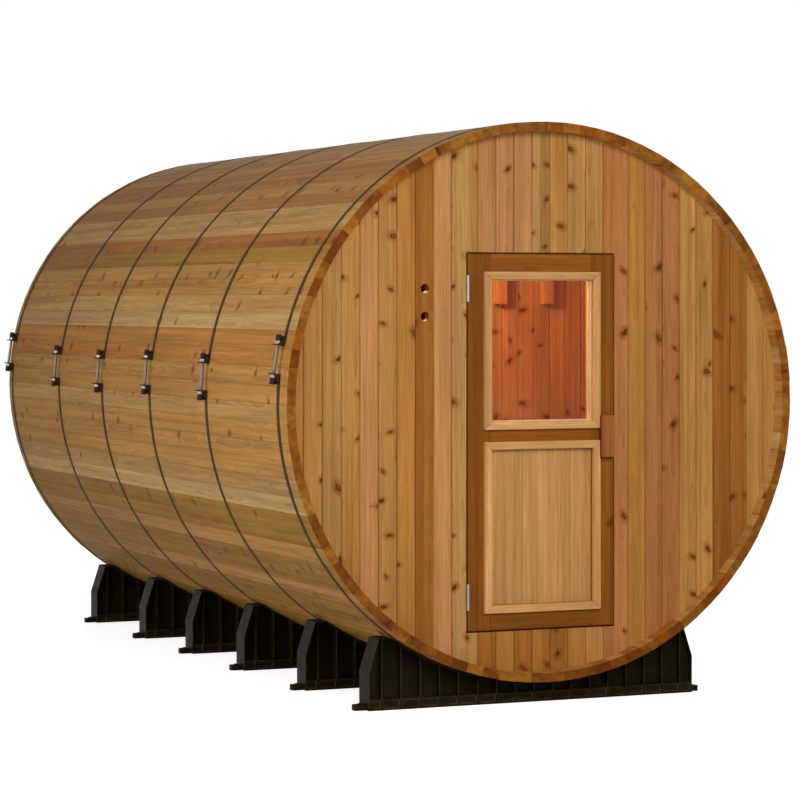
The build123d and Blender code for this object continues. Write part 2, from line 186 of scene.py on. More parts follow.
def object_place(tree):
    return add_node(tree, "ShaderNodeTexCoord").outputs["Object"]


def mesh_mark(tree, name):
    return add_node(tree, "ShaderNodeAttribute", attribute_name=name).outputs


def linear(red, green, blue):
    values = [channel / 255.0 for channel in (red, green, blue)]
    return (*[v / 12.92 if v <= 0.04045 else ((v + 0.055) / 1.055) ** 2.4 for v in values], 1.0)


print("mid grey is", linear(188, 188, 188)[0])


# %% [markdown]
# ## Cedar
# A board's grain is a slice through the rings of the log that it was sawn from. The group below is
# that log. Each vertex carries its place in its board's own log, so no two boards match and a door
# carries its grain with it. First come the knots: cells scatter them, and each is a ragged, tilted
# oval with a core, a heart and a halo.

# %% Build the cedar group
def new_group(name, inputs, outputs):
    group = bpy.data.node_groups.new(name, "ShaderNodeTree")
    for socket, kind in inputs:
        group.interface.new_socket(socket, in_out="INPUT", socket_type=kind)
    for socket, kind in outputs:
        group.interface.new_socket(socket, in_out="OUTPUT", socket_type=kind)
    return group, group.nodes.new("NodeGroupInput").outputs, group.nodes.new("NodeGroupOutput")


FLOAT, COLOR, VECTOR = "NodeSocketFloat", "NodeSocketColor", "NodeSocketVector"
cedar_inputs = [("Place", VECTOR), ("Tone", COLOR), ("End", FLOAT), ("Knots", FLOAT), ("Figure", FLOAT)]
cedar_outputs = [("Color", COLOR), ("Roughness", FLOAT), ("Height", FLOAT)]
cedar, cedar_in, cedar_out = new_group("cedar_grain", cedar_inputs, cedar_outputs)
place = cedar_in["Place"]

cell_across, cell_along = 0.076, 0.135
cell_place = stretch(place, (1 / cell_across, 1 / cell_along, 0.0))
cell_inputs = {"Vector": cell_place, "Scale": 1.0, "Randomness": 0.9}
cells = add_node(cedar, "ShaderNodeTexVoronoi", cell_inputs, voronoi_dimensions="2D", feature="F1")
knot_centre = stretch(cells.outputs["Position"], (cell_across, cell_along, 0.0))
flat_place = stretch(place, (1.0, 1.0, 0.0))
knot_offset = vectors("SUBTRACT", flat_place, knot_centre)
chances = add_node(cedar, "ShaderNodeSeparateColor", {"Color": cells.outputs["Color"]}).outputs
turn_inputs = {"Vector": knot_offset, "Angle": ramp(chances["Blue"], 0.0, 1.0, -1.3, 1.3)}
knot_turned = add_node(cedar, "ShaderNodeVectorRotate", turn_inputs, rotation_type="Z_AXIS")
knot_oval = stretch(knot_turned.outputs["Vector"], (0.74, 1.20, 0.0))
ragged = times_plus(noise(place, (120.0, 85.0, 60.0), 3.0, 0.65), 0.018, -0.009)
knot_distance = plus(vectors("LENGTH", knot_oval), ragged)
present = sums("LESS_THAN", chances["Red"], cedar_in["Knots"])
knot_size = ramp(sums("POWER", chances["Green"], 1.6), 0.0, 1.0, 0.0068, 0.0135)
knot_radius = times(knot_size, present)
core_end = times(knot_radius, 0.66)
knot_core = times(smooth(knot_distance, core_end, knot_radius, 1.0, 0.0), present)
halo_end = times(knot_radius, 3.0)
knot_halo = times(smooth(knot_distance, core_end, halo_end, 1.0, 0.0), present)
heart_start = times(knot_radius, 0.15)
heart_shape = smooth(knot_distance, heart_start, core_end, 1.0, 0.0)
knot_heart = times(heart_shape, ramp(chances["Blue"], 0.45, 0.55, 0.0, 0.75))
print("cedar group, knots placed:", len(cedar.nodes), "nodes")

# %% [markdown]
# Many knots show a branch cut lengthwise: a thin brown streak across the board, which fades away
# from its knot to one side.

# %% Add the branch streaks
knot_step = split(knot_offset)
branch_side = ramp(chances["Blue"], 0.49, 0.51, -1.0, 1.0)
branch_reach = times(knot_step["X"], branch_side)
branch_start = smooth(branch_reach, -0.002, 0.004, 0.0, 1.0)
branch_fade = ramp(branch_reach, 0.004, 0.038, 1.0, 0.0)
branch_bend = times_plus(branch_reach, 0.25, knot_step["Y"])
branch_thin = sums("ABSOLUTE", plus(branch_bend, ragged))
branch_band = smooth(branch_thin, 0.0015, 0.0065, 1.0, 0.0)
branch = times(times(branch_start, branch_fade), branch_band)
branch_share = ramp(chances["Green"], 0.35, 0.45, 0.0, 0.8)
branch = times(branch, times(branch_share, present))

# %% [markdown]
# The distance from the pith gives the rings, slow noise bends them, and knots push them aside. A
# year's growth is about 5 mm: pale wood shades into a thin dark line, then the next year starts
# sharply. A power curve gives that shape, and each year gets its own strength.

# %% Add the rings
year_width = 0.0048
pith_distance = vectors("LENGTH", stretch(place, (1.0, 0.0, 1.0)))
wander = times_plus(noise(place, (5.0, 1.5, 5.0)), 0.040, -0.020)
ring_distance = times_plus(knot_halo, 0.007, plus(pith_distance, wander))
years = times(ring_distance, 1 / year_width)
late_wood = sums("POWER", sums("FRACT", years), 2.4)
year_number = {"W": sums("FLOOR", years)}
year_chance = add_node(cedar, "ShaderNodeTexWhiteNoise", year_number, noise_dimensions="1D")
late_wood = times(late_wood, ramp(year_chance.outputs["Value"], 0.0, 1.0, 0.35, 1.0))
late_wood = times(late_wood, cedar_in["Figure"])

# %% [markdown]
# The colour starts from the board's tone. Four noises stretched along the board change how bright
# it is: broad clouds, long streaks, a ripple and fine fibre. Wide bands turn some of it to darker
# heartwood or paler sapwood. Late wood, flecks, halos, branches and knots are laid over that, and
# a sawn end is darker and patchy.

# %% Add the colour
heartwood, sapwood = (0.78, 0.62, 0.42, 1.0), (1.10, 1.14, 1.12, 1.0)
late_shade, halo_shade = (0.70, 0.54, 0.36, 1.0), (0.66, 0.42, 0.18, 1.0)
core_dark, core_open = (0.085, 0.024, 0.004, 1.0), (0.22, 0.080, 0.016, 1.0)
end_pale, end_dark = (0.84, 0.60, 0.19, 1.0), (0.38, 0.205, 0.042, 1.0)
fibre = noise(place, (620.0, 9.0, 620.0), 3.0, 0.6)
streak = noise(place, (48.0, 0.8, 48.0), 3.0)
ripple = noise(place, (110.0, 6.0, 110.0), 3.0, 0.6)
brightness = ramp(noise(place, (7.0, 1.3, 7.0)), 0.25, 0.75, 0.88, 1.10)
brightness = times(brightness, ramp(streak, 0.25, 0.75, 0.76, 1.20))
brightness = times(brightness, ramp(fibre, 0.25, 0.75, 0.88, 1.10))
brightness = times(brightness, ramp(ripple, 0.28, 0.72, 0.86, 1.12))
grey_inputs = {"Red": brightness, "Green": brightness, "Blue": brightness}
grey = add_node(cedar, "ShaderNodeCombineColor", grey_inputs).outputs["Color"]
colour = tint(cedar_in["Tone"], grey)
band = noise(place, (15.0, 0.40, 15.0))
heart_band = smooth(band, 0.52, 0.66, 0.0, 0.60)
colour = mix(heart_band, colour, tint(colour, heartwood))
sap_band = smooth(band, 0.42, 0.30, 0.0, 0.55)
colour = mix(sap_band, colour, tint(colour, sapwood))
late_colour = tint(colour, late_shade)
colour = mix(late_wood, colour, late_colour)
flecks = smooth(noise(place, (210.0, 26.0, 210.0)), 0.64, 0.76, 0.0, 0.35)
colour = mix(flecks, colour, late_colour)
halo_colour = tint(colour, halo_shade)
colour = mix(times(knot_halo, 0.85), colour, halo_colour)
colour = mix(branch, colour, halo_colour)
colour = mix(knot_core, colour, mix(knot_heart, core_dark, core_open))
# The End mark also carries painted shade: seam faces and the pulls' left and lower sides take this darker end
# colour.
end_board = times(noise(place, (0.0, 1.3, 0.0), 0.0), 0.8)
end_share = times_plus(noise(place, (24.0, 1.0, 24.0)), 0.5, end_board)
end_share = smooth(end_share, 0.45, 0.85, 0.0, 1.0)
end_colour = tint(colour, mix(end_share, end_pale, end_dark))
colour = mix(cedar_in["End"], colour, end_colour)
print("cedar group, coloured:", len(cedar.nodes), "nodes")

# %% Give the group its outputs
height = times_plus(knot_core, 0.3, times_plus(late_wood, -0.35, fibre))
roughness = times_plus(knot_core, -0.12, ramp(fibre, 0.3, 0.7, 0.56, 0.74))
feed(cedar_out, {"Color": colour, "Roughness": roughness, "Height": height})


# %% [markdown]
# ## Wood materials
# All the wood is one cedar with different knots and finish, so one function makes every material.
# The shader stays in the material; the group only feeds its sockets.

# %% Make the wood materials
def new_material(name):
    material = bpy.data.materials.new(name)
    material.use_nodes = True
    return material, material.node_tree, material.node_tree.nodes["Principled BSDF"]


wood_shine = 0.11


def wood_material(name, knots, figure, grain_depth):
    material, tree, shader = new_material(name)
    tone = mesh_mark(tree, "tone")
    inputs = {
        "Place": mesh_mark(tree, "plank")["Vector"],
        "Tone": tone["Color"],
        "End": mesh_mark(tree, "end_grain_and_painted_light")["Fac"],
        "Knots": times(tone["Alpha"], knots),
        "Figure": figure,
    }
    grain = add_node(tree, "ShaderNodeGroup", inputs, node_tree=cedar).outputs
    feed(shader, {
        "Base Color": grain["Color"],
        "Roughness": grain["Roughness"],
        "Normal": relief(grain["Height"], grain_depth),
        "Specular IOR Level": wood_shine,
    })
    return material


stave_wood = wood_material("stave_cedar", 1.0, 0.70, 0.0009)
wall_wood = wood_material("wall_cedar", 1.0, 0.55, 0.0005)
door_frame_wood = wood_material("door_frame_cedar", 0.03, 0.60, 0.0004)
trim_wood = wood_material("trim_cedar", 0.0, 0.40, 0.0003)
panel_wood = wood_material("panel_cedar", 0.04, 0.32, 0.0003)
floor_wood = wood_material("floor_cedar", 0.40, 0.70, 0.0006)

TONES = {
    "straw": linear(188, 144, 84),
    "honey": linear(184, 134, 70),
    "amber": linear(176, 121, 56),
    "pink": linear(189, 133, 82),
    "rose": linear(180, 118, 68),
    "brown": linear(160, 102, 40),
    "dun": linear(158, 115, 42),
    "pale": linear(196, 156, 100),
    "olive": linear(132, 77, 17),
    "rail": linear(146, 86, 24),
    "trim": linear(209, 156, 100),
    # near white: pale wood made paler still as a painted highlight
    "bead": linear(240, 206, 176),
    "handle": linear(150, 90, 38),
    "panel": linear(198, 147, 88),
    "glow": linear(196, 128, 66),
}
print("tones", ", ".join(TONES))


# %% [markdown]
# ## Mesh helpers
# All boards of one piece share a bmesh. A board is made, stamped with its tone and its place in its
# log, and then counts as done, so the next operators only touch the fresh one.

# %% Helpers that know the fresh parts
def new_mesh():
    bm = bmesh.new()
    bm.verts.layers.int.new("stamped")
    bm.verts.layers.float_vector.new("plank")
    bm.verts.layers.float_color.new("tone")
    # this face mark holds real end grain, painted shade on seams and pulls, and painted highlights on the
    # cradles
    bm.faces.layers.float.new("end_grain_and_painted_light")
    return bm


def fresh_verts(bm):
    done = bm.verts.layers.int["stamped"]
    return [vert for vert in bm.verts if vert[done] == 0]


def fresh_faces(bm):
    done = bm.verts.layers.int["stamped"]
    return [face for face in bm.faces if face.verts[0][done] == 0]


def fresh_edges(bm):
    done = bm.verts.layers.int["stamped"]
    return [edge for edge in bm.edges if edge.verts[0][done] == 0]


def fresh_parts(bm):
    return fresh_verts(bm) + fresh_edges(bm) + fresh_faces(bm)


def settle(bm):
    done = bm.verts.layers.int["stamped"]
    for vert in fresh_verts(bm):
        vert[done] = 1


# %% [markdown]
# A stamp gives a board a random place in its log, up to 10 cm from the pith. Faces across the grain are
# marked as end grain, and the eased faces at a seam may be marked a little, which paints shade into the V.

# %% Stamp a board
seam_low, seam_high = 0.3, 0.95
# how much painted shade the eased faces of a seam get
painted_seam_shade = 0.35


def stamp(bm, dice, tone, origin, across, along, knots=0.4, seam_shade=0.0):
    across, along, origin = Vector(across), Vector(along), Vector(origin)
    depth = across.cross(along)
    plank = bm.verts.layers.float_vector["plank"]
    tones = bm.verts.layers.float_color["tone"]
    end_and_seam_shade = bm.faces.layers.float["end_grain_and_painted_light"]
    pith_side = dice.uniform(-0.05, 0.05)
    pith_start = dice.uniform(0.0, 400.0)
    pith_depth = dice.choice((-1, 1)) * dice.uniform(0.03, 0.10)
    pith = Vector((pith_side, pith_start, pith_depth))
    shade = dice.uniform(0.90, 1.06)
    colour = [channel * shade for channel in TONES[tone][:3]] + [knots]
    for face in fresh_faces(bm):
        face.normal_update()
        face[end_and_seam_shade] = 1.0 if abs(face.normal.dot(along)) > 0.8 else 0.0
        # the eased faces of a seam get painted shade, in the darker end-grain colour
        if seam_low < abs(face.normal.dot(across)) < seam_high and seam_low < abs(face.normal.dot(depth)):
            face[end_and_seam_shade] = seam_shade
    for vert in fresh_verts(bm):
        step = vert.co - origin
        vert[plank] = Vector((step.dot(across), step.dot(along), step.dot(depth))) + pith
        vert[tones] = colour
    settle(bm)


# %% Helpers that shape boards
def edge_step(edge):
    step = edge.verts[0].co - edge.verts[1].co
    return Vector((abs(step.x), abs(step.y), abs(step.z)))


def only_verts(parts):
    return [part for part in parts if isinstance(part, bmesh.types.BMVert)]


def draw_faces(bm, faces, step):
    drawn = bmesh.ops.extrude_face_region(bm, geom=faces)["geom"]
    bmesh.ops.translate(bm, verts=only_verts(drawn), vec=step)


def draw_outline(bm, places, step):
    draw_faces(bm, [bm.faces.new([bm.verts.new(spot) for spot in places])], step)


def slice_fresh(bm, point, normal, clear=False):
    bmesh.ops.bisect_plane(bm, geom=fresh_parts(bm), plane_co=point, plane_no=normal, clear_inner=clear)


def soften(bm, edges, width, segments=1, overlap=True):
    return bmesh.ops.bevel(
        bm, geom=edges, offset=width, offset_type="OFFSET", segments=segments, profile=0.5,
        affect="EDGES", clamp_overlap=overlap, material=-1,
    )


def sharp_box(bm, low, high):
    low, high = Vector(low), Vector(high)
    bmesh.ops.create_cube(bm, size=1.0, matrix=Matrix.LocRotScale((low + high) / 2, None, high - low))


def box_board(bm, low, high, width, segments=2):
    sharp_box(bm, low, high)
    soften(bm, fresh_edges(bm), width, segments)


def upright_circle(bm, centre, radius, segments, filled=True):
    stand = Matrix.Translation(centre) @ Matrix.Rotation(math.pi / 2, 4, "X")
    bmesh.ops.create_circle(bm, cap_ends=filled, segments=segments, radius=radius, matrix=stand)


# %% Turn a finished mesh into a piece
def finish_piece(bm, name, material, body, replaced, smooth_angle=None):
    bmesh.ops.recalc_face_normals(bm, faces=bm.faces[:])
    bm.verts.layers.int.remove(bm.verts.layers.int["stamped"])
    mesh = bpy.data.meshes.new(name)
    bm.to_mesh(mesh)
    bm.free()
    if smooth_angle is not None:
        mesh.shade_smooth()
        mesh.set_sharp_from_angle(angle=math.radians(smooth_angle))
    mesh.materials.append(material)
    piece = place_object(name, mesh)
    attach(piece, body)
    if replaced:
        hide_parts(*replaced)
    print(name, sum(len(polygon.vertices) - 2 for polygon in mesh.polygons), "triangles")


# %% [markdown]
# ## The staves
# The barrel is 96 long staves with flat outsides, each narrower inside than outside so that they
# close into a ring. A stave's section is drawn out along the top of the barrel, its edges are
# eased, and a croze groove near each end takes the end wall. It is then turned round the axis.
# Real ends are never quite level, so each stave stops up to 3 mm short.

# %% Make one stave
stave_turn = 2 * math.pi / stave_count
stave_gap = 0.00012
stave_ease = 0.0007
croze_depth = 0.008
croze_margin = 0.0004
croze_width = wall_thickness + 2 * croze_margin
front_end, rear_end = -barrel_length / 2, barrel_length / 2
inner_radius = barrel_radius - stave_thickness


def make_stave(bm):
    outer_half = barrel_radius * math.sin(stave_turn / 2) - stave_gap
    inner_half = inner_radius * math.sin(stave_turn / 2) - stave_gap
    outer = barrel_radius * math.cos(stave_turn / 2)
    inner = inner_radius * math.cos(stave_turn / 2)
    section = [(-outer_half, outer), (outer_half, outer), (inner_half, inner), (-inner_half, inner)]
    draw_outline(bm, [(x, front_end, z) for x, z in section], (0.0, barrel_length, 0.0))
    long_edges = [e for e in fresh_edges(bm) if edge_step(e).y > 1.0]
    soften(bm, long_edges, stave_ease)
    for start in (wall_face - croze_margin, -wall_back - croze_margin):
        end = start + croze_width
        slice_fresh(bm, (0, start, 0), Y)
        slice_fresh(bm, (0, end, 0), Y)
        inside = [
            face for face in fresh_faces(bm)
            if face.normal.z < -0.9 and start < face.calc_center_median().y < end
        ]
        draw_faces(bm, inside, (0.0, 0.0, croze_depth))
        bmesh.ops.delete(bm, geom=inside, context="FACES_ONLY")


# %% Turn the staves into twelve panels
stave_dice = random.Random(11)
stave_tones = "straw honey straw honey straw honey pale amber brown honey".split()
# The low staves on the left get darker tones, as painted shade on the underside of the barrel.
shaded_low_staves = range(53, 66)
picked_staves = {
    69: "honey", 70: "honey", 71: "straw", 79: "honey", 80: "dun", 81: "brown", 82: "straw",
}
for panel in range(stave_count // staves_per_panel):
    bm = new_mesh()
    for step in range(staves_per_panel):
        stave = panel * staves_per_panel + step
        make_stave(bm)
        verts = fresh_verts(bm)
        front_cut, rear_cut = stave_dice.uniform(0.0, 0.003), stave_dice.uniform(0.0, 0.003)
        for vert in verts:
            if vert.co.y < front_end + 1e-4:
                vert.co.y += front_cut
            if vert.co.y > rear_end - 1e-4:
                vert.co.y -= rear_cut
        bmesh.ops.translate(bm, verts=verts, vec=(0.0, 0.0, -stave_dice.uniform(0.0, 0.0009)))
        turn = Matrix.Rotation((stave + 0.5) * stave_turn, 4, "Y")
        turned = Matrix.Translation((0, 0, axis_height)) @ turn
        bmesh.ops.transform(bm, matrix=turned, verts=verts)
        outward, across = turned.to_3x3() @ Vector(Z), turned.to_3x3() @ Vector(X)
        origin = Vector((0, 0, axis_height)) + outward * barrel_radius
        knots = stave_dice.choice((0.05, 0.15, 0.25, 0.45))
        tone = stave_dice.choice(stave_tones)
        # painted shade: darker tones for the low staves
        if stave in shaded_low_staves:
            tone = "dun" if stave % 3 else "honey"
        tone = picked_staves.get(stave, tone)
        stamp(bm, stave_dice, tone, origin, across, Y, knots, painted_seam_shade)
    number = str(panel + 1).zfill(2)
    finish_piece(bm, "stave_panel_" + number, stave_wood, "barrel", ["staves_" + number])


# %% [markdown]
# ## The end walls
# The walls are boards on end, about 76 mm wide and joined with a V. A disc is cut to a board's
# strip with bisecting planes, and so is the doorway. The strip is given its thickness, and easing
# the long edges of two neighbours makes the V between them.

# %% Helpers for wall boards
joint_gap = 0.0004
disc_segments = 192
hole_segments = 32
hole_radius = 0.0175
wall_joint = 0.0024


def cut_opening(bm, half, bottom, top):
    for point, normal in (((-half, 0, 0), X), ((half, 0, 0), X), ((0, 0, bottom), Z), ((0, 0, top), Z)):
        slice_fresh(bm, point, normal)
    gone = []
    for face in fresh_faces(bm):
        centre = face.calc_center_median()
        if abs(centre.x) < half and bottom < centre.z < top:
            gone.append(face)
    bmesh.ops.delete(bm, geom=gone, context="FACES")
    inner = [edge for edge in fresh_edges(bm) if len(edge.link_faces) == 2]
    bmesh.ops.dissolve_edges(bm, edges=inner, use_verts=False)


def cut_strip(bm, left, right, radius, front, opening=None, above=None, below=None):
    upright_circle(bm, (0, front, axis_height), radius, disc_segments)
    slice_fresh(bm, (left + joint_gap, 0, 0), X, True)
    slice_fresh(bm, (right - joint_gap, 0, 0), (-1, 0, 0), True)
    if above is not None:
        slice_fresh(bm, (0, 0, above), Z, True)
    if below is not None:
        slice_fresh(bm, (0, 0, below), (0, 0, -1), True)
    if opening and left < opening[0] and right > -opening[0]:
        cut_opening(bm, *opening)


def cut_holes(bm, holes, front):
    bmesh.ops.delete(bm, geom=fresh_faces(bm), context="FACES_ONLY")
    for x, z in holes:
        upright_circle(bm, (x, front, z), hole_radius, hole_segments, False)
    bmesh.ops.triangle_fill(bm, use_beauty=True, use_dissolve=False, edges=fresh_edges(bm))


def thicken_board(bm, thickness, joint):
    draw_faces(bm, fresh_faces(bm), (0.0, thickness, 0.0))
    lengthwise = []
    for edge in fresh_edges(bm):
        step = edge_step(edge)
        upright = step.x < 1e-5 and step.y < 1e-5 and step.z > 0.06
        if upright and max(abs(face.normal.x) for face in edge.link_faces) > 0.9:
            lengthwise.append(edge)
    bmesh.ops.recalc_face_normals(bm, faces=fresh_faces(bm))
    soften(bm, lengthwise, joint)


def wall_board(bm, dice, span, disc, tone, knots, joint=wall_joint, shade=painted_seam_shade, holes=(), **limits):
    left, right = span
    radius, front, thickness = disc
    cut_strip(bm, left, right, radius, front, **limits)
    if holes:
        cut_holes(bm, holes, front)
    thicken_board(bm, thickness, joint)
    stamp(bm, dice, tone, ((left + right) / 2, front, axis_height), X, Z, knots, shade)


def wall_spans(radius, seams):
    edges = [-radius - 0.01] + seams + [radius + 0.01]
    return list(zip(edges, edges[1:]))


# %% Make the front wall
wall_radius = -wall_left_low.x
narrow_board, wide_board = 0.0753, 0.0763
cable_holes = [(-0.486, axis_height + 0.431), (-0.486, axis_height + 0.326)]
left_seams = [-0.977 + narrow_board * step for step in range(9)]
over_door = [-0.267 + wide_board * step for step in range(8)]
right_seams = [0.375 + narrow_board * step for step in range(9)]
front_tones = (
    "honey honey straw honey pink honey amber brown pink straw pink pink pink straw honey straw "
    "straw rose amber rose rose honey honey brown brown honey honey"
).split()
front_knots = [1, 2, 2, 3, 2, 9, 2, 1, 0, 9, 1, 1, 0, 5, 3, 3, 1, 2, 0, 1, 3, 2, 4, 1, 5, 2, 2]
under_tones = "brown amber honey brown amber brown amber".split()
front_dice = random.Random(5)
front_disc = (wall_radius, wall_face, wall_thickness)
bm = new_mesh()
for number, span in enumerate(wall_spans(wall_radius, left_seams + over_door + right_seams)):
    over_doorway = span[0] > -opening_half and span[1] < opening_half
    limits = {"opening": (opening_half, opening_bottom, opening_top)}
    if over_doorway:
        limits = {"above": opening_top}
    holes = [hole for hole in cable_holes if span[0] < hole[0] < span[1]]
    tone, knots = front_tones[number], front_knots[number] / 10
    wall_board(bm, front_dice, span, front_disc, tone, knots, holes=holes, **limits)
    if over_doorway:
        under = under_tones[number % len(under_tones)]
        wall_board(bm, front_dice, span, front_disc, under, 0.3, below=opening_bottom)
front_nodes = ["front_wall_left", "front_wall_right", "front_wall_over_door", "front_wall_under_door"]
finish_piece(bm, "front_wall", wall_wood, "barrel", front_nodes)

# %% Make the back wall
back_dice = random.Random(8)
back_tones = "straw honey amber pink rose honey".split()
even_seams = [-0.979 + narrow_board * step for step in range(27)]
back_disc = (wall_radius, -wall_back, wall_thickness)
bm = new_mesh()
for span in wall_spans(wall_radius, even_seams):
    tone = back_dice.choice(back_tones)
    wall_board(bm, back_dice, span, back_disc, tone, back_dice.choice((0.05, 0.15, 0.30, 0.70)))
finish_piece(bm, "end_wall_rear", wall_wood, "barrel", ["back_wall"])

# %% [markdown]
# ## The partition
# Behind the changing room stands a second wall of such boards with wider joints, which shows
# through the window with two short cleats near its top. It is made as the front wall is.

# %% Make the partition
partition_low, partition_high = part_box("partition_left")
partition_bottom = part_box("partition_under_door")[1].z
partition_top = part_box("partition_over_door")[0].z
partition_opening = (-partition_high.x, partition_bottom, partition_top)
partition_radius = -partition_low.x
partition_disc = (partition_radius, partition_low.y, partition_high.y - partition_low.y)
partition_joint = 0.0052
partition_dice = random.Random(21)
bm = new_mesh()
for span in wall_spans(partition_radius, even_seams):
    knots = partition_dice.choice((0.4, 0.7, 1.0))
    wall_board(
        bm, partition_dice, span, partition_disc, "glow", knots, partition_joint, 0.0,
        opening=partition_opening,
    )
partition_nodes = ["partition_left", "partition_right", "partition_over_door", "partition_under_door"]
finish_piece(bm, "partition_wall", wall_wood, "barrel", partition_nodes)

cleat_low, cleat_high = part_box("partition_cleats")
cleat_width = 0.050
bm = new_mesh()
for left in (cleat_low.x, cleat_high.x - cleat_width):
    corner = (left, cleat_low.y, cleat_low.z)
    box_board(bm, corner, (left + cleat_width, cleat_high.y, cleat_high.z), 0.003)
    stamp(bm, partition_dice, "glow", corner, X, Z)
finish_piece(bm, "wall_cleats", trim_wood, "barrel", ["partition_cleats"])


# %% [markdown]
# ## The floor
# Slats with gaps lie on bearers that are sawn to the curve of the barrel. A bearer is the piece of
# a disc below the slats, cut with one plane and given its width.

# %% Make the floors and their bearers
floor_dice = random.Random(31)
floor_count = 8
slat_gap = 0.009


def make_floor(name, node):
    low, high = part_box(node)
    pitch = (high.x - low.x + slat_gap) / floor_count
    bm = new_mesh()
    for slat in range(floor_count):
        left = low.x + slat * pitch
        box_board(bm, (left, low.y, low.z), (left + pitch - slat_gap, high.y, high.z), 0.003)
        tone = floor_dice.choice(["straw", "honey", "amber", "pink"])
        stamp(bm, floor_dice, tone, (left + pitch / 2, low.y, low.z), X, Y)
    finish_piece(bm, name, floor_wood, "barrel", [node])


make_floor("changing_room_slats", "changing_room_floor")
make_floor("hot_room_slats", "hot_room_floor")

bearer_low, bearer_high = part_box("floor_bearers")
bearer_width = 0.045
bearer_radius = inner_radius * math.cos(stave_turn / 2) - 0.0004
bm = new_mesh()
for node, count in (("changing_room_floor", 3), ("hot_room_floor", 4)):
    low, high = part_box(node)
    for bearer in range(count):
        start = low.y + bearer * (high.y - low.y - bearer_width) / (count - 1)
        upright_circle(bm, (0, start, axis_height), bearer_radius, disc_segments)
        slice_fresh(bm, (0, 0, bearer_high.z), (0, 0, -1), True)
        draw_faces(bm, fresh_faces(bm), (0.0, bearer_width, 0.0))
        stamp(bm, floor_dice, "amber", (0, start, bearer_low.z), Y, X)
finish_piece(bm, "curved_bearers", floor_wood, "barrel", ["floor_bearers"])

# %% [markdown]
# ## The door
# The leaf is a frame of two full-height stiles and three rails in a darker, oiled cedar, with glass
# above and three upright boards below, both held by mitred trims.

# %% Make the door frame
door_dice = random.Random(41)
frame_boards = [
    ("door_hinge_stile", "hinge_stile_board", "olive", Z, X),
    ("door_latch_stile", "latch_stile_board", "olive", Z, X),
    ("door_top_rail", "top_rail_board", "rail", X, Z),
    ("door_middle_rail", "middle_rail_board", "rail", X, Z),
    ("door_bottom_rail", "bottom_rail_board", "olive", X, Z),
]
for node, name, tone, along, across in frame_boards:
    low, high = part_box(node)
    bm = new_mesh()
    box_board(bm, low, high, 0.0018)
    stamp(bm, door_dice, tone, (low + high) / 2, across, along)
    finish_piece(bm, name, door_frame_wood, "door", [node])

# %% Make the lower panel
panel_low, panel_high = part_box("door_panel")
panel_board_count = 3
panel_step = (panel_high.x - panel_low.x) / panel_board_count
panel_gap = 0.0003
bm = new_mesh()
for board in range(panel_board_count):
    left = panel_low.x + board * panel_step + panel_gap
    corner = (left, panel_low.y, panel_low.z)
    sharp_box(bm, corner, (left + panel_step - 2 * panel_gap, panel_high.y, panel_high.z))
    upright = [e for e in fresh_edges(bm) if edge_step(e).z > 0.1]
    soften(bm, upright, 0.0009)
    stamp(bm, door_dice, "panel", corner, X, Z, 1.0)
finish_piece(bm, "panel_boards", panel_wood, "door", ["door_panel"])


# %% [markdown]
# ## Trims
# A trim board starts as four corners with its ends at 45 degrees, so four of them meet in mitres
# with a hair's gap. The face is given its thickness and its edges are eased.

# %% Make the mitred trims
trim_width = 0.030
trim_thickness = 0.019
mitre_gap = 0.0001
mitre_ways = [(0, 0, -1), (1, 0, 0), (0, 0, 1), (-1, 0, 0)]


def mitred_boards(bm, dice, half, bottom, top, front, back, width=trim_width, tone="trim", ease=0.0022):
    outer = [(-half - width, bottom - width), (half + width, bottom - width),
             (half + width, top + width), (-half - width, top + width)]
    inner = [(-half, bottom), (half, bottom), (half, top), (-half, top)]
    for side in range(4):
        after = (side + 1) % 4
        corners = [outer[side], outer[after], inner[after], inner[side]]
        draw_outline(bm, [(x, front, z) for x, z in corners], (0.0, back - front, 0.0))
        bmesh.ops.translate(bm, verts=fresh_verts(bm), vec=Vector(mitre_ways[side]) * mitre_gap)
        bmesh.ops.recalc_face_normals(bm, faces=fresh_faces(bm))
        soften(bm, fresh_edges(bm), ease, 2)
        across, along = (X, Z) if side % 2 else (Z, X)
        stamp(bm, dice, tone, (corners[0][0], front, corners[0][1]), across, along)


trim_dice = random.Random(51)
for node, name in (("window_trim", "window_surround"), ("panel_trim", "panel_surround")):
    low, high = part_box(node)
    half = high.x - trim_width
    bm = new_mesh()
    for front, back in ((low.y, low.y + trim_thickness), (high.y - trim_thickness, high.y)):
        mitred_boards(bm, trim_dice, half, low.z + trim_width, high.z - trim_width, front, back)
    finish_piece(bm, name, trim_wood, "door", [node])

# %% [markdown]
# Thin pale beads hold the glass, one mitred frame in front of it and one behind. They line the sides of
# the opening, which the light from inside catches, and their tone is made paler still as a painted highlight
# of that light.

# %% Make the glazing beads
bead_width = 0.0039
bead_ease = 0.0008
glass_low, glass_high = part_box("door_glass")
window_low, window_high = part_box("window_trim")
bead_half = window_high.x - trim_width - bead_width
bead_bottom = window_low.z + trim_width + bead_width
bead_top = window_high.z - trim_width - bead_width
bm = new_mesh()
for front, back in ((leaf_front + 0.001, glass_low.y - 0.0002), (glass_high.y + 0.0002, leaf_back - 0.001)):
    sides = (bead_half, bead_bottom, bead_top, front, back)
    mitred_boards(bm, trim_dice, *sides, bead_width, "bead", bead_ease)
finish_piece(bm, "glazing_beads", trim_wood, "door", [])

# %% [markdown]
# ## Door stop
# Four boards on the inside of the wall overlap the doorway, and the leaf closes against them.

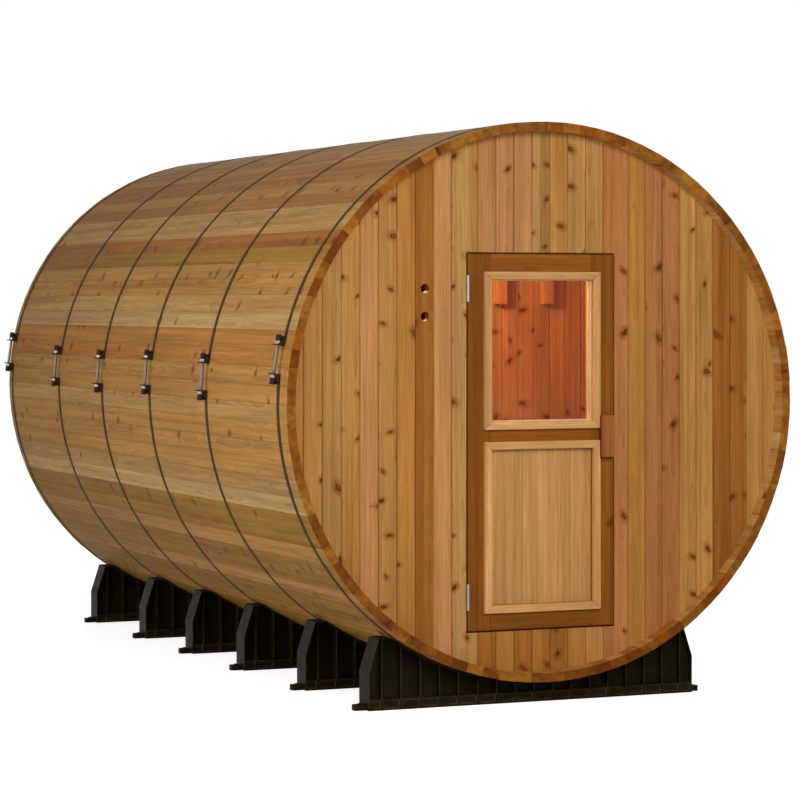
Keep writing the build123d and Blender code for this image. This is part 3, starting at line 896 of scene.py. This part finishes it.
# %% Make the door stop
stop_low, stop_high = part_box("door_stop")
stop_width = 0.050
inner_low, inner_high = stop_low.z + stop_width, stop_high.z - stop_width
stop_boards = [
    ((stop_low.x, inner_high), (stop_high.x, stop_high.z), Z, X),
    ((stop_low.x, stop_low.z), (stop_high.x, inner_low), Z, X),
    ((stop_low.x, inner_low), (stop_low.x + stop_width, inner_high), X, Z),
    ((stop_high.x - stop_width, inner_low), (stop_high.x, inner_high), X, Z),
]
bm = new_mesh()
for low, high, across, along in stop_boards:
    corner = (low[0], stop_low.y, low[1])
    box_board(bm, corner, (high[0], stop_high.y, high[1]), 0.002)
    stamp(bm, door_dice, "honey", corner, across, along)
finish_piece(bm, "stop_boards", trim_wood, "barrel", ["door_stop"])

# %% [markdown]
# ## Pull handles
# Each pull is a plate that stands off the latch stile on a block, so that fingers reach behind it
# above and below. Its edges are well rounded, and its left edge and underside get painted shade.

# %% Make the pull handles
pull_low, pull_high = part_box("door_pull_handles")
pull_middle = (pull_low.z + pull_high.z) / 2
plate_thickness = 0.017
plate_width = 0.057
block_width, block_height = 0.036, 0.046
pulls = [
    (pull_low.y, pull_low.y + plate_thickness, leaf_front, leaf_half - 0.011),
    (pull_high.y - plate_thickness, pull_high.y, leaf_back, leaf_half - 0.0245),
]
bm = new_mesh()
end_grain_and_painted_light = bm.faces.layers.float["end_grain_and_painted_light"]
for plate_front, plate_back, leaf_side, right in pulls:
    box_board(bm, (right - plate_width, plate_front, pull_low.z), (right, plate_back, pull_high.z), 0.004, 3)
    # painted shade on the plate's left side and underside, in the darker end colour
    painted_shade_sides = [f for f in fresh_faces(bm) if f.normal.x < -0.8 or f.normal.z < -0.8]
    stamp(bm, door_dice, "handle", (right, plate_front, pull_middle), X, Z)
    for painted_shade_side in painted_shade_sides:
        painted_shade_side[end_grain_and_painted_light] = 1.0
    near, far = (plate_back, leaf_side) if leaf_side > plate_front else (leaf_side, plate_front)
    block_low = (right - block_width, near, pull_middle - block_height / 2)
    box_board(bm, block_low, (right, far, pull_middle + block_height / 2), 0.002)
    stamp(bm, door_dice, "handle", (right, near, pull_middle), X, Z)
finish_piece(bm, "wooden_pulls", trim_wood, "door", ["door_pull_handles"], 40)


# %% [markdown]
# ## Glass
# The pane's own node is a box of just its shape, so it keeps its mesh and only gets a better
# material. The index is low, since the real pane hardly mirrors anything.

# %% Glaze the window
def assign(node, material):
    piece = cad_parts[node]
    piece.data.materials.clear()
    piece.data.materials.append(material)


glass, glass_tree, glass_shader = new_material("clear_glass")
smears = noise(object_place(glass_tree), (9.0, 9.0, 4.0), 3.0)
feed(glass_shader, {
    "Base Color": (0.93, 0.96, 0.95, 1.0),
    "Transmission Weight": 1.0,
    "IOR": 1.2,
    "Roughness": ramp(smears, 0.4, 0.8, 0.0, 0.05),
})
assign("door_glass", glass)
print("glass on door_glass")

# %% [markdown]
# ## Steel
# The hoops are dull, browned strap, the lugs and caps are dark, and the rods, nuts and hinges are
# bright zinc. All are cloudy, and a thin brown bloom hides more or less of the metal.

# %% Build the steel group and materials
steel_inputs = [("Place", VECTOR), ("Clean", COLOR), ("Bloom", COLOR), ("Cover", FLOAT)]
steel_outputs = [("Color", COLOR), ("Metallic", FLOAT), ("Roughness", FLOAT), ("Height", FLOAT)]
steel, steel_in, steel_out = new_group("aged_steel", steel_inputs, steel_outputs)
mottle = noise(steel_in["Place"], (60.0, 60.0, 60.0), 4.0, 0.6)
spots = noise(steel_in["Place"], (300.0, 300.0, 300.0), 3.0, 0.6)
uneven = times_plus(spots, 0.35, times(mottle, 0.65))
shifted = plus(uneven, steel_in["Cover"])
bloom = smooth(shifted, 0.85, 1.15, 0.0, 1.0)
clean_share = ramp(mottle, 0.3, 0.7, 0.0, 0.30)
clean = mix(clean_share, steel_in["Clean"], (0.30, 0.29, 0.27, 1.0))
bloom_share = ramp(spots, 0.3, 0.7, 0.0, 0.5)
bloomed = mix(bloom_share, steel_in["Bloom"], (0.055, 0.036, 0.022, 1.0))
feed(steel_out, {
    "Color": mix(bloom, clean, bloomed),
    "Metallic": ramp(bloom, 0.0, 1.0, 0.95, 0.25),
    "Roughness": ramp(shifted, 0.4, 1.3, 0.28, 0.62),
    "Height": uneven,
})
steel_shine = 0.05
steel_relief = 0.0002


def steel_material(name, clean_colour, bloom_colour, cover):
    material, tree, shader = new_material(name)
    surface = add_node(tree, "ShaderNodeGroup", node_tree=steel)
    feed(surface, {
        "Place": object_place(tree), "Clean": clean_colour, "Bloom": bloom_colour, "Cover": cover,
    })
    feed(shader, {
        "Base Color": surface.outputs["Color"],
        "Metallic": surface.outputs["Metallic"],
        "Roughness": surface.outputs["Roughness"],
        "Normal": relief(surface.outputs["Height"], steel_relief),
        "Specular IOR Level": steel_shine,
    })
    return material


hoop_steel = steel_material("browned_strap", (0.055, 0.040, 0.020, 1.0), linear(52, 37, 15), 0.95)
dark_steel = steel_material("dark_lug", (0.06, 0.045, 0.03, 1.0), linear(38, 27, 15), 0.80)
zinc = steel_material("bright_zinc", (0.25, 0.22, 0.18, 1.0), linear(104, 88, 64), 0.22)

# %% [markdown]
# ## Hoops
# Each hoop is two half bands of steel strap. A band is a small rectangle spun round the barrel's
# axis from one tensioner to the other, with its two ends closed.

# %% Spin the bands
hoop_thickness = 0.0012
hoop_width = 0.025
hoop_inside = barrel_radius + 0.0001
hoop_outside = hoop_inside + hoop_thickness
lug_half_gap = 0.0525
gap_turn = math.asin(lug_half_gap / barrel_radius)
tensioner_heights = [0.165, 0.085, 0.088, 0.079, 0.089, 0.140]
hoops = []
for number in range(6):
    low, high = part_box("hoop_" + str(number + 1))
    hoops.append((low.y + high.y) / 2)


def spin_band(bm, place, start_turn, sweep, steps):
    low_y, high_y = place - hoop_width / 2, place + hoop_width / 2
    ring = [(hoop_inside, low_y), (hoop_outside, low_y), (hoop_outside, high_y), (hoop_inside, high_y)]
    verts = []
    for radius, y in ring:
        height = axis_height + radius * math.sin(start_turn)
        verts.append(bm.verts.new((radius * math.cos(start_turn), y, height)))
    face = bm.faces.new(verts)
    bmesh.ops.spin(
        bm, geom=[face] + list(face.edges) + verts, cent=(0, 0, axis_height), axis=(0, -1, 0),
        dvec=(0, 0, 0), angle=sweep, steps=steps, use_merge=False, use_duplicate=False,
    )


for number, place in enumerate(hoops):
    rise = math.asin(tensioner_heights[number] / barrel_radius)
    top_start = rise + gap_turn
    bm = new_mesh()
    spin_band(bm, place, top_start, math.pi - 2 * top_start, 90)
    spin_band(bm, place, math.pi - rise + gap_turn, math.pi + 2 * rise - 2 * gap_turn, 96)
    hoop_name = "hoop_" + str(number + 1)
    finish_piece(bm, "strap_" + str(number + 1), hoop_steel, "barrel", [hoop_name], 30)


# %% [markdown]
# ## Tensioners
# Where two bands meet, each ends in a lug: an upright plate with two webs folded back over the
# strap. A threaded rod passes through both plates, with a short nut and a dark cap at each end.
# One tensioner is modelled with X away from the barrel, Z along the strap and Y along the barrel,
# and a matrix carries each copy to its hoop and side.

# %% Place a tensioner
def tensioner_place(number, side):
    rise = math.asin(tensioner_heights[number] / barrel_radius)
    outward = Vector((side * math.cos(rise), 0.0, math.sin(rise)))
    upward = Vector((-side * math.sin(rise), 0.0, math.cos(rise)))
    turn = Matrix((outward, upward.cross(outward), upward)).transposed().to_4x4()
    foot = Vector((0.0, hoops[number], axis_height)) + outward * hoop_outside
    return Matrix.Translation(foot) @ turn


# %% Make a lug
plate_thick = 0.004
plate_height = 0.040
web_length = 0.034
web_thick = 0.0025
web_tip = 0.006


def make_lug(bm, end):
    drop = hoop_inside - math.sqrt(hoop_inside ** 2 - lug_half_gap ** 2)
    low = end * lug_half_gap
    outer = low + end * plate_thick
    plate_low = (-drop, -hoop_width / 2, min(low, outer))
    box_board(bm, plate_low, (plate_height, hoop_width / 2, max(low, outer)), 0.0012)
    settle(bm)
    tail = outer + end * web_length
    tail_drop = hoop_inside - math.sqrt(hoop_inside ** 2 - tail ** 2)
    web = [(-drop, outer), (plate_height * 0.62, outer), (web_tip - tail_drop, tail), (-tail_drop, tail)]
    for y in (-hoop_width / 2, hoop_width / 2 - web_thick):
        draw_outline(bm, [(x, y, z) for x, z in web], (0.0, web_thick, 0.0))
        soften(bm, fresh_edges(bm), 0.0005)
        settle(bm)


# %% [markdown]
# The rod's thread is a stack of rings that step in and out: a circle is drawn out step by step and
# scaled each time.

# %% Make the rod, the nuts and the caps
rod_diameter = 0.013
rod_offset = 0.021
thread_pitch = 0.0026
thread_depth = 0.0007
nut_flat_half = 0.0105
nut_length = 0.013
cap_radius = 0.011
cap_length = 0.024
rod_reach = lug_half_gap + plate_thick + nut_length


def draw_rings(bm, edges, steps):
    for rise, scale in steps:
        drawn = bmesh.ops.extrude_edge_only(bm, edges=edges)["geom"]
        verts = only_verts(drawn)
        edges = [part for part in drawn if isinstance(part, bmesh.types.BMEdge)]
        bmesh.ops.translate(bm, verts=verts, vec=(0.0, 0.0, rise))
        middle = Matrix.Translation(-Vector((rod_offset, 0.0, verts[0].co.z)))
        bmesh.ops.scale(bm, verts=verts, vec=(scale, scale, 1.0), space=middle)
    return edges


def make_rod(bm):
    start = Matrix.Translation((rod_offset, 0.0, -rod_reach))
    bmesh.ops.create_circle(bm, cap_ends=False, segments=12, radius=rod_diameter / 2, matrix=start)
    first = fresh_edges(bm)
    narrow = 1.0 - 2 * thread_depth / rod_diameter
    thread = [(thread_pitch / 2, narrow), (thread_pitch / 2, 1.0 / narrow)]
    last = draw_rings(bm, first, thread * round(2 * rod_reach / thread_pitch))
    bmesh.ops.edgeloop_fill(bm, edges=first)
    bmesh.ops.edgeloop_fill(bm, edges=last)
    settle(bm)


def round_bar(bm, start, end, length, radius, segments):
    middle = Matrix.Translation((rod_offset, 0.0, end * start + end * length / 2))
    bmesh.ops.create_cone(
        bm, cap_ends=True, segments=segments, radius1=radius, radius2=radius, depth=length, matrix=middle
    )


def make_nut(bm, end):
    round_bar(bm, lug_half_gap + plate_thick, end, nut_length, nut_flat_half / math.cos(math.pi / 6), 6)
    soften(bm, fresh_edges(bm), 0.0012, 2)
    settle(bm)


def make_cap(bm, end):
    round_bar(bm, rod_reach, end, cap_length, cap_radius, 16)
    rims = [e for e in fresh_edges(bm) if edge_step(e).z < 1e-6]
    soften(bm, rims, 0.004, 3)
    settle(bm)


# %% Build the tensioners on both sides
tensioner_kinds = [
    ("tensioner_lugs", make_lug, dark_steel, [], "hoop_steel"),
    ("tension_rods", make_nut, zinc, ["tension_bolts"], "bolt_steel"),
    ("rod_end_caps", make_cap, dark_steel, ["tension_bolts"], "bolt_steel"),
]
for name, make_end, material, replaced, slot in tensioner_kinds:
    bm = new_mesh()
    if make_end is make_nut:
        make_rod(bm)
    for end in (-1, 1):
        make_end(bm, end)
    pattern = bm.verts[:] + bm.edges[:] + bm.faces[:]
    for number in range(6):
        for side in (-1, 1):
            copied = bmesh.ops.duplicate(bm, geom=pattern)["geom"]
            bmesh.ops.transform(bm, matrix=tensioner_place(number, side), verts=only_verts(copied))
    bmesh.ops.delete(bm, geom=only_verts(pattern), context="VERTS")
    finish_piece(bm, name, material, "barrel", replaced, 35)

# %% [markdown]
# ## Cradle plastic
# The cradles are moulded in near-black plastic with a dull, faintly grained skin. Its eased edges
# get a painted highlight, and its colour grows lighter towards the ground.

# %% Make the plastic
plastic, plastic_tree, plastic_shader = new_material("moulded_black_plastic")
spot = object_place(plastic_tree)
skin = noise(spot, (900.0, 900.0, 900.0))
flow = noise(spot, (14.0, 14.0, 30.0), 3.0)
# lighter towards the ground, in patches that follow the flow noise
lighter_low_down = ramp(split(spot)["Z"], 0.0, 0.25, 0.45, 0.05)
lighter_low_down = times(lighter_low_down, ramp(flow, 0.35, 0.7, 0.2, 1.0))
body_colour = mix(lighter_low_down, linear(23, 18, 7), linear(47, 38, 18))
# painted highlight on the eased edges, patchy with the flow noise
highlight_share = ramp(flow, 0.35, 0.6, 0.25, 1.0)
painted_highlight = times(mesh_mark(plastic_tree, "end_grain_and_painted_light")["Fac"], highlight_share)
feed(plastic_shader, {
    "Base Color": mix(painted_highlight, body_colour, linear(68, 60, 38)),
    "Roughness": ramp(flow, 0.3, 0.7, 0.34, 0.50),
    "Normal": relief(skin, 0.00015),
    "Specular IOR Level": 0.03,
})
print("plastic with rubbed edges")

# %% [markdown]
# ## Cradles
# A cradle's outline is a few corners and an arc, which is a vertex spun round the barrel's axis. The
# outline is given its thickness. Each end face gets a rim by inset and is cut along its ribs and
# base rail, and the bays between are pushed in with a slight taper, as a mould needs. Last, all
# edges are eased, and the eased faces are marked so that the plastic paints them lighter as highlights.

# %% Sizes of a cradle
cradle_depth = 0.095
saddle_radius = barrel_radius * math.cos(stave_turn / 2) + 0.0003
saddle_steps = 36
land_radius = barrel_radius + 0.0297
land_turn = math.radians(36.3)
land_half = land_radius * math.sin(land_turn)
land_height = axis_height - land_radius * math.cos(land_turn)
side_half = land_half + 0.041
side_height = land_height - 0.127
rim_width = 0.005
rail_height = 0.040
rib_pitch = 0.0795
rib_width = 0.006
rib_pairs = 8
bay_depth = 0.024
bay_taper = 0.0016
smallest_bay = 0.0004
pad_frame = 0.004
pad_depth = 0.005
edge_ease = 0.0014
shortest_edge = 0.009
highlight_depth = 0.006


def saddle_arc(bm, front):
    rise = land_height - axis_height
    turn = math.asin(rise / saddle_radius)
    start = bm.verts.new((saddle_radius * math.cos(turn), front, axis_height + rise))
    bmesh.ops.spin(
        bm, geom=[start], cent=(0, front, axis_height), axis=Y, dvec=(0, 0, 0),
        angle=math.pi + 2 * turn, steps=saddle_steps, use_merge=False, use_duplicate=False,
    )
    return sorted(fresh_verts(bm), key=lambda vert: vert.co.x)


# %% Helpers for a cradle's ribs
def end_face(bm, level):
    flat = [f for f in fresh_faces(bm) if abs(f.normal.y) > 0.9]
    there = [f for f in flat if abs(f.calc_center_median().y - level) < 1e-5]
    return max(there, key=lambda f: f.calc_area())


def cut_faces(bm, pieces, point, normal):
    geom = set(pieces)
    for piece in pieces:
        geom.update(piece.edges)
        geom.update(piece.verts)
    cut = bmesh.ops.bisect_plane(bm, geom=list(geom), plane_co=point, plane_no=normal)["geom"]
    return [part for part in cut if isinstance(part, bmesh.types.BMFace)]


def sink(bm, faces, inset, depth):
    bmesh.ops.inset_individual(bm, faces=faces, thickness=inset, depth=-depth, use_even_offset=True)


def push_bays(bm, level):
    face = end_face(bm, level)
    bmesh.ops.inset_region(bm, faces=[face], thickness=rim_width, use_even_offset=True, use_boundary=True)
    pieces = cut_faces(bm, [face], (0, 0, rail_height), Z)
    for rib in range(-rib_pairs, rib_pairs + 1):
        for reach in (-rib_width / 2, rib_width / 2):
            pieces = cut_faces(bm, pieces, (rib * rib_pitch + reach, 0, 0), X)
    bays, pads = [], []
    for piece in pieces:
        centre = piece.calc_center_median()
        off_rib = abs(centre.x / rib_pitch - round(centre.x / rib_pitch)) * rib_pitch
        if off_rib > rib_width and piece.calc_area() > smallest_bay:
            (pads if centre.z < rail_height else bays).append(piece)
    sink(bm, bays, bay_taper, bay_depth)
    sink(bm, pads, pad_frame, 0.0)
    sink(bm, pads, bay_taper, pad_depth)


# %% Make one cradle
tab_length = 0.045
tab_half = 0.020
tab_height = 0.022
tab_overlap = 0.008
tab_rounding = 0.010
bolt_out = 0.020
bolt_radius, bolt_top_radius, bolt_height = 0.009, 0.0075, 0.006


def edges_above(bm, height):
    return [e for e in fresh_edges(bm) if min(v.co.z for v in e.verts) > height]


def make_tab(bm, place, side):
    inner, outer = side * (side_half - tab_overlap), side * (side_half + tab_length)
    low, high = min(inner, outer), max(inner, outer)
    middle = Vector(((low + high) / 2, place, tab_height / 2))
    size = Vector((high - low, 2 * tab_half, tab_height))
    bmesh.ops.create_cube(bm, size=1.0, matrix=Matrix.LocRotScale(middle, None, size))
    tip = [e for e in fresh_edges(bm) if edge_step(e).z > 0.01 and abs(e.verts[0].co.x - outer) < 1e-4]
    soften(bm, tip, tab_rounding, 3)
    soften(bm, edges_above(bm, tab_height - 1e-4), 0.002, 2)
    settle(bm)
    stand = Matrix.Translation((side * (side_half + bolt_out), place, tab_height + 0.001))
    bmesh.ops.create_cone(
        bm, cap_ends=True, segments=20, radius1=bolt_radius, radius2=bolt_top_radius, depth=bolt_height,
        matrix=stand,
    )
    soften(bm, edges_above(bm, tab_height + 0.002), 0.001, 2)
    settle(bm)


def make_cradle(bm, place):
    front, back = place - cradle_depth / 2, place + cradle_depth / 2
    outline = saddle_arc(bm, front)
    corners = [
        (land_half, land_height), (side_half, side_height), (side_half, 0.0),
        (-side_half, 0.0), (-side_half, side_height), (-land_half, land_height),
    ]
    outline += [bm.verts.new((x, front, z)) for x, z in corners]
    draw_faces(bm, [bm.faces.new(outline)], (0.0, cradle_depth, 0.0))
    bmesh.ops.recalc_face_normals(bm, faces=fresh_faces(bm))
    push_bays(bm, front)
    push_bays(bm, back)
    long_edges = [e for e in fresh_edges(bm) if e.calc_length() > shortest_edge]
    crisp = [e for e in long_edges if len(e.link_faces) == 2 and e.calc_face_angle(0.0) > 0.5]
    # the eased faces are marked for a painted highlight; those deep in the bays get less
    highlight_layer = bm.faces.layers.float["end_grain_and_painted_light"]
    for face in soften(bm, crisp, edge_ease, 1, False)["faces"]:
        sunk = abs(face.calc_center_median().y - place) < cradle_depth / 2 - highlight_depth
        face[highlight_layer] = 0.2 if sunk and abs(face.normal.x) < 0.9 else 1.0
    settle(bm)
    for side in (-1, 1):
        make_tab(bm, place, side)


# %% Set the cradles under the barrel
for number in range(6):
    name = "cradle_" + str(number + 1)
    low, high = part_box(name)
    bm = new_mesh()
    make_cradle(bm, (low.y + high.y) / 2)
    finish_piece(bm, "moulded_" + name, plastic, "barrel", [name])
for node in ("door_hinge_plates", "wall_hinge_plates"):
    assign(node, zinc)

# %% [markdown]
# ## The studio
# Four soft lamps stand round a plain pale floor: one at the left, one in front, and one each for
# the right side and the rear. A small warm lamp hangs in the changing room. The world and the
# floor are nearly white to rays that show them to the camera, and give little light to the rest.

# %% Light the studio
WHITE = (1.0, 1.0, 1.0, 1.0)
world_light = 0.075


def seen_rays(tree):
    rays = add_node(tree, "ShaderNodeLightPath").outputs
    seen = sums("MAXIMUM", rays["Is Camera Ray"], rays["Is Glossy Ray"])
    return sums("MAXIMUM", seen, rays["Is Transmission Ray"])


world = bpy.data.worlds.new("studio")
bpy.context.scene.world = world
world.use_nodes = True
backdrop_light = ramp(seen_rays(world.node_tree), 0.0, 1.0, world_light, 1.0)
feed(world.node_tree.nodes["Background"], {"Color": WHITE, "Strength": backdrop_light})


def area_lamp(name, size, power, place, target):
    data = bpy.data.lights.new(name, "AREA")
    data.shape = "SQUARE"
    data.size = size
    data.energy = power
    lamp = place_object(name, data)
    lamp.location = place
    lamp.rotation_euler = (Vector(target) - Vector(place)).to_track_quat("-Z", "Y").to_euler()


area_lamp("key_lamp", 2.6, 185.0, (-6.2, -2.4, 2.2), (-0.6, -0.9, 1.4))
area_lamp("front_lamp", 3.0, 345.0, (-1.2, -8.1, 3.5), (0.0, -1.8, 1.3))
area_lamp("right_lamp", 3.0, 190.0, (7.2, 1.2, 1.6), (1.0, 0.3, 1.1))
area_lamp("rear_lamp", 3.0, 190.0, (2.6, 7.8, 1.6), (0.0, 1.8, 1.1))

warm_light = bpy.data.lights.new("changing_room_lamp", "POINT")
warm_light.energy = 42.0
warm_light.color = (1.0, 0.71, 0.32)
warm_light.shadow_soft_size = 0.06
place_object("changing_room_lamp", warm_light).location = (-0.36, -1.02, 1.86)

# %% Lay the floor
near_reach, far_reach = 3.0, 14.0
near_glow, far_glow = 0.82, 0.97
bm = bmesh.new()
bmesh.ops.create_grid(bm, x_segments=1, y_segments=1, size=40.0)
floor_mesh = bpy.data.meshes.new("studio_floor")
bm.to_mesh(floor_mesh)
bm.free()
floor_material, floor_tree, floor_shader = new_material("studio_floor")
floor_reach = vectors("LENGTH", object_place(floor_tree))
floor_glow = ramp(floor_reach, near_reach, far_reach, near_glow, far_glow)
feed(floor_shader, {
    "Base Color": (0.55, 0.55, 0.55, 1.0),
    "Roughness": 0.9,
    "Emission Color": WHITE,
    "Emission Strength": times(seen_rays(floor_tree), floor_glow),
})
floor_mesh.materials.append(floor_material)
studio_floor = place_object("studio_floor", floor_mesh)
